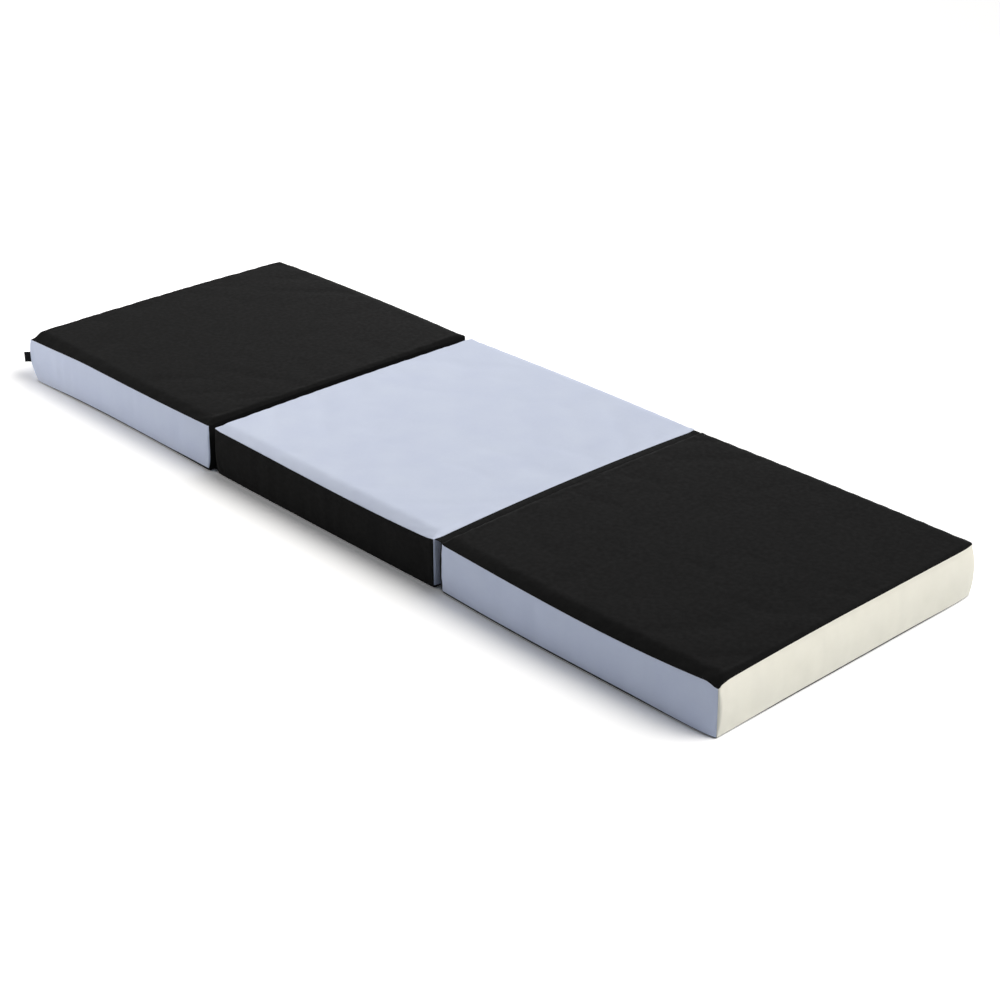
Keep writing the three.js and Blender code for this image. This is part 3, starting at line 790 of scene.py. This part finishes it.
def cut(points, index):
    """The part of a welded skin that a grid of indices names, as its own points and quads."""
    used, small = np.unique(index, return_inverse=True)
    return points[used], small.reshape(index.shape)


def panel(node, body, points, index, uv_grid):
    own, small = cut(points, index)
    uv = np.zeros((len(own), 2))
    uv[small.ravel()] = uv_grid.reshape(-1, 2)
    new_points, quads, new_uv = shell(own, grid_quads(small), outline_of(small), uv)
    piece = mesh_piece(node.replace("_", "-") + "-cloth", new_points, quads, finishes[slots[node]], new_uv)
    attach(piece, body)
    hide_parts(node)
    return piece


# %% [markdown]
# ## Dress the three sections
# The band is one ring of cloth that is cut in the middle of each corner, where the colours change
# on the real one. The back strip is cut again along the slot for the zip. Inside goes the foam, a
# shade smaller than the cover all round. Two sections that fold together meet at a plane 104.15 mm
# up, so the cloth's waves are eased off just below it.

# %% Panels and foam
FOAM_INSET = 2.4 * MM
TOP_LIMIT = 104.1 * MM
LIMIT_EASE = 0.4 * MM


def band_cloth(run):
    """Cloth coordinates of a run of the band: metres along it and metres up."""
    step = np.linalg.norm(np.diff(run[:, SLOT_MIDDLE], axis=0), axis=1)
    along = np.concatenate([[0], np.cumsum(step)])
    return np.stack([np.repeat(along[:, None], run.shape[1], axis=1), run[..., 2]], -1)


def below_fold(height):
    """Ease heights off so that they stay under the limit."""
    return TOP_LIMIT - LIMIT_EASE * np.logaddexp(0, (TOP_LIMIT - height) / LIMIT_EASE)


def dress(name, form):
    """Make the foam and the seven panels of a section, and return its band along the back."""
    body = f"{name}_section"
    skin = cover(form)
    points, quads, top_index, bottom_index, band_index = slacken(skin, form)
    points = settle_cloth(name, points, quads, top_index, bottom_index, band_index)
    points[:, 2] = below_fold(points[:, 2])
    points = points + np.array([form["x"], 0, 0])
    corners = corner_stations(*top_index.shape)
    core = mesh_piece(f"{name}-foam", points - FOAM_INSET * surface_normals(points, quads), quads,
                      finishes["polyether_foam"])
    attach(core, body)
    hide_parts(f"{name}_foam_core")
    plan_uv = np.stack([skin["u"], skin["v"]], -1)
    made = [
        panel(f"{name}_top_panel", body, points, top_index, plan_uv),
        panel(f"{name}_bottom_panel", body, points, bottom_index[::-1], plan_uv[::-1]),
    ]
    runs = {
        "front_side": (0, slice(None)),
        "right_end": (1, slice(None)),
        "back_side_upper": (2, slice(UPPER_EDGE, None)),
        "back_side_lower": (2, slice(None, LOWER_EDGE + 1)),
        "left_end": (3, slice(None)),
    }
    turns = corners + form["seam_shift"] * np.array([1, 0, 0, 0, 1])
    for part, (side, levels) in runs.items():
        stations = np.arange(turns[side], turns[side + 1] + 1) % corners[4]
        index = band_index[stations][:, levels]
        cloth = band_cloth(points[band_index[stations]])[:, levels]
        made.append(panel(f"{name}_{part}", body, points, index, cloth))
    print(name, "panels", len(made), "with points", sum(len(piece.data.vertices) for piece in made))
    return points[band_index[corners[2]:corners[3] + 1]]


back_bands = {name: dress(name, form) for name, form in sections.items()}

# %% [markdown]
# ## Cloth hinges
# Between two sections a strip of canvas runs from seam to seam. The left one joins the bottoms and
# the right one the tops, so the mattress folds like a letter Z. Each strip is a flat cut that lies
# a little slack in the gap.

# %% Hinge strips
STRIP_HALF = 9.3 * MM
STRIP_LINES = 11
STRIP_SLACK = 0.6 * MM
STRIP_CREASE = 0.25 * MM
STRIP_SEED = 21
SEAM_DEPTH = 0.3 * MM


def thicken(points, index, thickness):
    """Give a grid of points a second face behind it and close its edge all round."""
    quads, rim = grid_quads(index), outline_of(index)
    count = len(points)
    behind = points - thickness * surface_normals(points, quads)
    all_quads = np.concatenate([quads, quads[:, ::-1] + count, strip_quads(rim, rim + count)])
    return np.concatenate([points, behind]), all_quads


def hinge_strip(node, middle_x, seam_heights, outward):
    """A strip at the top seams, outward 1, or at the bottom ones, outward -1."""
    v = grid_lines(HALF_WIDTH)[2:-2]
    across = np.linspace(-1, 1, STRIP_LINES)
    heights = seam_heights(np.full_like(v, HALF_LENGTH), v)
    lift = STRIP_SLACK * (1 - across ** 2) - SEAM_DEPTH
    creases = pucker(v, STRIP_SEED) * STRIP_CREASE
    grid = np.empty((len(across), len(v), 3))
    grid[..., 0] = middle_x + STRIP_HALF * across[:, None]
    grid[..., 1] = v
    grid[..., 2] = heights + outward * (lift[:, None] + creases * (1 - across[:, None] ** 2))
    points, quads = thicken(grid.reshape(-1, 3), index_of(grid)[::outward], CLOTH)
    uv = grid[..., :2].reshape(-1, 2)
    piece = mesh_piece(node.replace("_", "-") + "-cloth", points, quads,
                       finishes[slots[node]], np.concatenate([uv, uv]))
    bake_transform(piece)
    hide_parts(node)
    return piece


hinges = [
    hinge_strip("lower_hinge_strip", -PITCH / 2,
                lambda u, v: bottom_height(u, v, plain_form), outward=-1),
    hinge_strip("upper_hinge_strip", PITCH / 2,
                lambda u, v: top_height(u, v, sections["middle"]), outward=1),
]
print("hinges", [[round(side, 4) for side in piece.dimensions] for piece in hinges])

# %% [markdown]
# ## Zips
# Each cover opens at the back with a coil zip, so the foam can come out for washing. Two woven
# tapes lie behind the slot. On them are two coils of nylon thread, each a flattened helix, whose
# turns mesh like the fingers of two hands. The turns are made as real helices, because the light
# on them is what makes a zip look like one. Slider, pull and stops keep their solids, and only get
# softened edges and black enamel.

# %% Zip tapes
TAPE_SHY = 5 * MM
TAPE_THICKNESS = 0.45 * MM
TAPE_COLUMNS = 180
TAPE_ROWS = 9
TAPE_WAVE = 0.06 * MM
TAPE_SEED = 31


def plain_sheet(node, body, grid, thickness):
    """A sheet with square edges: the grid is its outer face, and the other lies behind it."""
    points, quads = thicken(grid.reshape(-1, 3), index_of(grid), thickness)
    steps = [np.linalg.norm(np.diff(grid, axis=axis), axis=2) for axis in (0, 1)]
    along = np.concatenate([[0], np.cumsum(steps[0][:, 0])])
    across = np.concatenate([[0], np.cumsum(steps[1][0])])
    uv = np.stack(np.meshgrid(along, across, indexing="ij"), -1).reshape(-1, 2)
    piece = mesh_piece(node.replace("_", "-") + "-woven", points, quads,
                       finishes[slots[node]], np.concatenate([uv, uv]))
    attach(piece, body)
    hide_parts(node)
    return piece


def zip_tape(name, x, side):
    low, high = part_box(f"{name}_zip_tape_{side}")
    columns = np.linspace(high.x - TAPE_SHY, low.x + TAPE_SHY, TAPE_COLUMNS)
    rows = np.linspace(low.z, high.z, TAPE_ROWS)
    grid = np.empty((len(columns), len(rows), 3))
    grid[..., 0] = columns[:, None]
    middle_y = plan(columns - x, np.full_like(columns, HALF_WIDTH), sections[name], 0.5)[1]
    wavering = waves(columns[:, None] + 0 * rows, rows + 0 * columns[:, None], 90 * MM, 30 * MM, TAPE_SEED)
    back_off = (HALF_WIDTH - middle_y)[:, None] + TAPE_WAVE * (1 + np.clip(wavering, -1, 1))
    grid[..., 1] = high.y - back_off
    grid[..., 2] = rows
    return plain_sheet(f"{name}_zip_tape_{side}", f"{name}_section", grid, TAPE_THICKNESS)


# %% Zip coils
COIL_PITCH = 1.4 * MM
COIL_THREAD = 0.56 * MM
COIL_OVERLAP = 0.25 * MM
TURN_STEPS = 10
THREAD_SIDES = 6


def helix(first_x, length, centre_y, centre_z, half_y, half_z, start_angle):
    """A thread wound into a flattened helix along X, as the points and faces of a closed tube."""
    turns = length / COIL_PITCH
    angle = np.linspace(0, 2 * math.pi * turns, round(turns * TURN_STEPS) + 1)
    turned = angle + start_angle
    centre = np.stack([
        first_x + length * angle / angle[-1],
        centre_y + half_y * np.cos(turned),
        centre_z + half_z * np.sin(turned),
    ], -1)
    tangent = unit(np.gradient(centre, axis=0))
    spoke = unit(np.stack([0 * angle, half_z * np.cos(turned), half_y * np.sin(turned)], -1))
    side = np.cross(tangent, spoke)
    faces_round = np.arange(THREAD_SIDES) * 2 * math.pi / THREAD_SIDES
    around = spoke[:, None] * np.cos(faces_round)[:, None] + side[:, None] * np.sin(faces_round)[:, None]
    points = centre[:, None] + around * COIL_THREAD / 2
    index = index_of(points)
    wrapped = np.concatenate([index, index[:, :1]], axis=1)
    faces = grid_quads(wrapped).tolist() + [index[0].tolist(), index[-1, ::-1].tolist()]
    return points.reshape(-1, 3), faces


def zip_coil(name):
    node = f"{name}_zip_coil"
    low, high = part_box(node)
    half_y = (high.y - low.y - COIL_THREAD) / 2
    reach = (high.z - low.z) / 2
    half_z = (reach + COIL_OVERLAP - COIL_THREAD) / 2
    points, faces = [], []
    for sign in (1, -1):
        centre_z = MIDDLE + sign * (reach - COIL_THREAD / 2 - half_z)
        turn, new_faces = helix(low.x + COIL_THREAD / 2, high.x - low.x - COIL_THREAD,
                                (low.y + high.y) / 2, centre_z, half_y, half_z, math.pi / 2 * (1 - sign))
        faces += [[corner + sum(map(len, points)) for corner in face] for face in new_faces]
        points.append(turn)
    piece = mesh_piece(
        node.replace("_", "-") + "-helix", np.concatenate(points), faces, finishes["nylon_coil"])
    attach(piece, f"{name}_section")
    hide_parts(node)
    return piece


for name, form in sections.items():
    tapes = [zip_tape(name, form["x"], side) for side in ("upper", "lower")]
    coil = zip_coil(name)
    print(name, "coil faces", len(coil.data.polygons), "tape", round(tapes[0].dimensions.x, 4))

# %% Zinc fittings
EDGE_BREAK = 0.25 * MM
EDGE_STEPS = 3

for name in sections:
    for part in ("zip_slider", "zip_pull", "zip_top_stop", "zip_bottom_stop"):
        fitting = frame["nodes"][f"{name}_{part}"]
        bevel = fitting.modifiers.new("softened_edges", "BEVEL")
        bevel.width = EDGE_BREAK
        bevel.segments = EDGE_STEPS
        bevel.limit_method = "ANGLE"
        fitting.data.materials.clear()
        fitting.data.materials.append(finishes["painted_zinc"])
print("fittings beveled", EDGE_BREAK / MM, "mm")

# %% [markdown]
# ## Stitches beside the zips
# The cloth beside a zip is folded under and held down by a row of lockstitch 3 mm from the fold.
# Real thread is 0.3 mm thick and is drawn a little thicker here. Each stitch is a small rounded
# rod that dips into the cloth at both ends and follows the cloth's own waves.

# %% Stitches
STITCH = 3.4 * MM
STITCH_SHOWN = 2.5 * MM
THREAD = 0.45 * MM
FROM_FOLD = 3 * MM
ROW_INSET = 8 * MM
ROD_SIDES = 6
ROD_STATIONS = np.array([0, 0.12, 0.35, 0.65, 0.88, 1])
ROD_SUNK = 0.5
ROD_RISE = 0.75
TIP_RADIUS = 0.35
TIP_FULLNESS = 1.4


def stitch_row(name, side, band):
    """All stitches beside one edge of a slot, as one mesh. Sinking and rising are in threads."""
    if side == "upper":
        edge, beyond = UPPER_EDGE, UPPER_EDGE + 1
    else:
        edge, beyond = LOWER_EDGE, LOWER_EDGE - 1
    share = FROM_FOLD / np.abs(band[:, beyond, 2] - band[:, edge, 2])
    line = band[:, edge] + share[:, None] * (band[:, beyond] - band[:, edge])
    line = line[np.argsort(line[:, 0])]
    middles = np.arange(line[0, 0] + ROW_INSET, line[-1, 0] - ROW_INSET, STITCH)
    x = middles[:, None] + (ROD_STATIONS - 0.5) * STITCH_SHOWN
    arch_share = 1 - (2 * ROD_STATIONS - 1) ** 2
    y = np.interp(x, line[:, 0], line[:, 1]) + THREAD * (ROD_RISE * arch_share - ROD_SUNK)
    z = np.interp(x, line[:, 0], line[:, 2])
    radius = THREAD / 2 * np.clip(TIP_RADIUS + arch_share * TIP_FULLNESS, 0, 1)
    turn = np.arange(ROD_SIDES) * 2 * math.pi / ROD_SIDES
    points = np.stack([
        x[..., None] + 0 * turn,
        y[..., None] + radius[:, None] * np.cos(turn),
        z[..., None] + radius[:, None] * np.sin(turn),
    ], -1)
    index = index_of(points)
    wrapped = np.concatenate([index, index[..., :1]], axis=2)
    faces = []
    for rod, caps in zip(wrapped, index):
        faces += grid_quads(rod)[:, ::-1].tolist() + [caps[0, ::-1].tolist(), caps[-1].tolist()]
    sewn = slots[f"{name}_back_side_{side}"]
    row = mesh_piece(f"{name}-stitches-{side}", points.reshape(-1, 3), faces, thread_finishes[sewn])
    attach(row, f"{name}_section")
    return len(middles)


counts = [stitch_row(name, side, band) for name, band in back_bands.items() for side in ("upper", "lower")]
print("stitches", sum(counts))

# %% [markdown]
# ## Label
# At the front left corner a folded satin tape sticks out of the upright seam. It is one strip
# bent round at its outer end, with its two plies pinched together in the seam. It is blank.

# %% Label
LABEL_PLY = 0.4 * MM
LABEL_HALF = 0.6 * MM
LABEL_REACH = 20 * MM
LABEL_BASE = 4.6 * MM
LABEL_BEND = 1.2 * MM
PINCH_HALF = 0.42 * MM
PINCH_REACH = 5 * MM
LABEL_STATIONS = 24
LABEL_ROWS = 12
BEND_STEPS = 13


def label():
    """The strip's path in plan, out along one ply and back along the other, raised to a sheet."""
    node = "left_side_label"
    low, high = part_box(node)
    corner = np.array([-(HALF_LENGTH - CORNER) - PITCH, -(HALF_WIDTH - CORNER)])
    end = LABEL_BASE + LABEL_REACH
    runs = np.linspace(LABEL_BASE, end - LABEL_HALF, LABEL_STATIONS)
    pinch = PINCH_HALF + (LABEL_HALF - PINCH_HALF) * smooth((runs - LABEL_BASE) / PINCH_REACH)
    turn = np.linspace(-math.pi / 2, math.pi / 2, BEND_STEPS)[1:-1]
    out = np.concatenate([runs, end - LABEL_HALF + LABEL_HALF * np.cos(turn), runs[::-1]])
    across = np.concatenate([-pinch, LABEL_HALF * np.sin(turn), pinch[::-1]])
    bend = LABEL_BEND * ((out - LABEL_BASE) / LABEL_REACH) ** 2
    levels = np.linspace(low.z, high.z, LABEL_ROWS)
    axis = np.array([-1, -1]) / math.sqrt(2)
    side = np.array([1, -1]) / math.sqrt(2)
    path = corner + out[:, None] * axis + (across + bend)[:, None] * side
    grid = np.empty((len(path), len(levels), 3))
    grid[..., :2] = path[:, None]
    grid[..., 2] = levels
    return plain_sheet(node, "left_section", grid[::-1], LABEL_PLY)


print("label", [round(side, 4) for side in label().dimensions])

# %% [markdown]
# ## Floor, world and light
# The mattress lies on a white floor in front of white. The floor is a matt white that takes the
# object's shadow. To the camera alone it is brighter than any real floor, so that it is pure white
# where nothing shades it and still dark in the shadow. One broad sun stands high at the back right.
# It lights the tops and the cream end, and drops a short soft shadow to the front left. A weak lamp
# near the left end of the front lifts the front faces there, and its falling off darkens them
# toward the right. Another one behind the mattress gives the tops a faint sheen.

# %% Floor and world
FLOOR_SEEN = (1.36, 1.345, 1.34, 1)
FLOOR_LIT = (0.82, 0.85, 0.91, 1)
FLOOR_HALF = 60
FLOOR_LEVEL = -0.3 * MM
SKY_COLOUR = (0.8, 0.89, 1.0, 1)
SKY_STRENGTH = 0.12


def seen_ray(tree):
    """1 for rays from the camera, straight or through gloss or glass, and 0 for the light's own."""
    path = add_node(tree, "ShaderNodeLightPath")
    seen = add_node(tree, "ShaderNodeMath", {"operation": "MAXIMUM"},
                    in0=path.outputs["Is Camera Ray"], in1=path.outputs["Is Glossy Ray"])
    seen = add_node(tree, "ShaderNodeMath", {"operation": "MAXIMUM"},
                    in0=seen.outputs[0], in1=path.outputs["Is Transmission Ray"])
    return seen.outputs[0]


def floor_material():
    material, tree = empty_material("studio_floor")
    tone = add_node(tree, "ShaderNodeMix", {"data_type": "RGBA"}, Factor=seen_ray(tree))
    tone.inputs["A"].default_value = FLOOR_LIT
    tone.inputs["B"].default_value = FLOOR_SEEN
    matt = add_node(tree, "ShaderNodeBsdfDiffuse", Color=tone.outputs["Result"], Roughness=0.5)
    finish_material(tree, matt.outputs[0])
    return material


floor_corners = np.array([
    [x * FLOOR_HALF, y * FLOOR_HALF, FLOOR_LEVEL] for x, y in ((-1, -1), (1, -1), (1, 1), (-1, 1))
])
floor = mesh_piece("floor", floor_corners, [[0, 1, 2, 3]], floor_material())

world = bpy.data.worlds.new("studio")
bpy.context.scene.world = world
world.use_nodes = True
sky = world.node_tree
sky.nodes.clear()
dim = add_node(sky, "ShaderNodeBackground", Color=SKY_COLOUR, Strength=SKY_STRENGTH)
white = add_node(sky, "ShaderNodeBackground", Color=(1, 1, 1, 1), Strength=1.0)
choice = add_node(sky, "ShaderNodeMixShader", in0=seen_ray(sky), in1=dim.outputs[0], in2=white.outputs[0])
add_node(sky, "ShaderNodeOutputWorld", Surface=choice.outputs[0])
print("floor", 2 * FLOOR_HALF, "m wide, sky strength", SKY_STRENGTH)


# %% Lamps
def lamp(name, kind, power, place, target, **settings):
    data = bpy.data.lights.new(name, kind)
    data.energy = power
    for key, value in settings.items():
        setattr(data, key, value)
    light = bpy.data.objects.new(name, data)
    light.location = place
    light.rotation_euler = (Vector(target) - Vector(place)).to_track_quat("-Z", "Y").to_euler()
    bpy.context.scene.collection.objects.link(light)
    return light


lamps = [
    lamp("sun", "SUN", power=2.95, place=(1.35, 1.05, 1.8), target=(0, 0, 0),
         angle=math.radians(44), color=(1, 0.987, 0.962)),
    lamp("front_fill", "AREA", power=40, place=(-2.7, -1.9, 1.0), target=(-0.9, -0.3, 0.05),
         shape="SQUARE", size=1.2, color=(1, 0.965, 0.91)),
    lamp("rear_sheen", "AREA", power=28, place=(-2.1, 2.5, 1.3), target=(-0.3, 0, 0.1),
         shape="SQUARE", size=1.6),
]
print("lamps", {light.name: round(light.data.energy, 2) for light in lamps})
bpy.context.scene.view_settings.view_transform = "Standard"
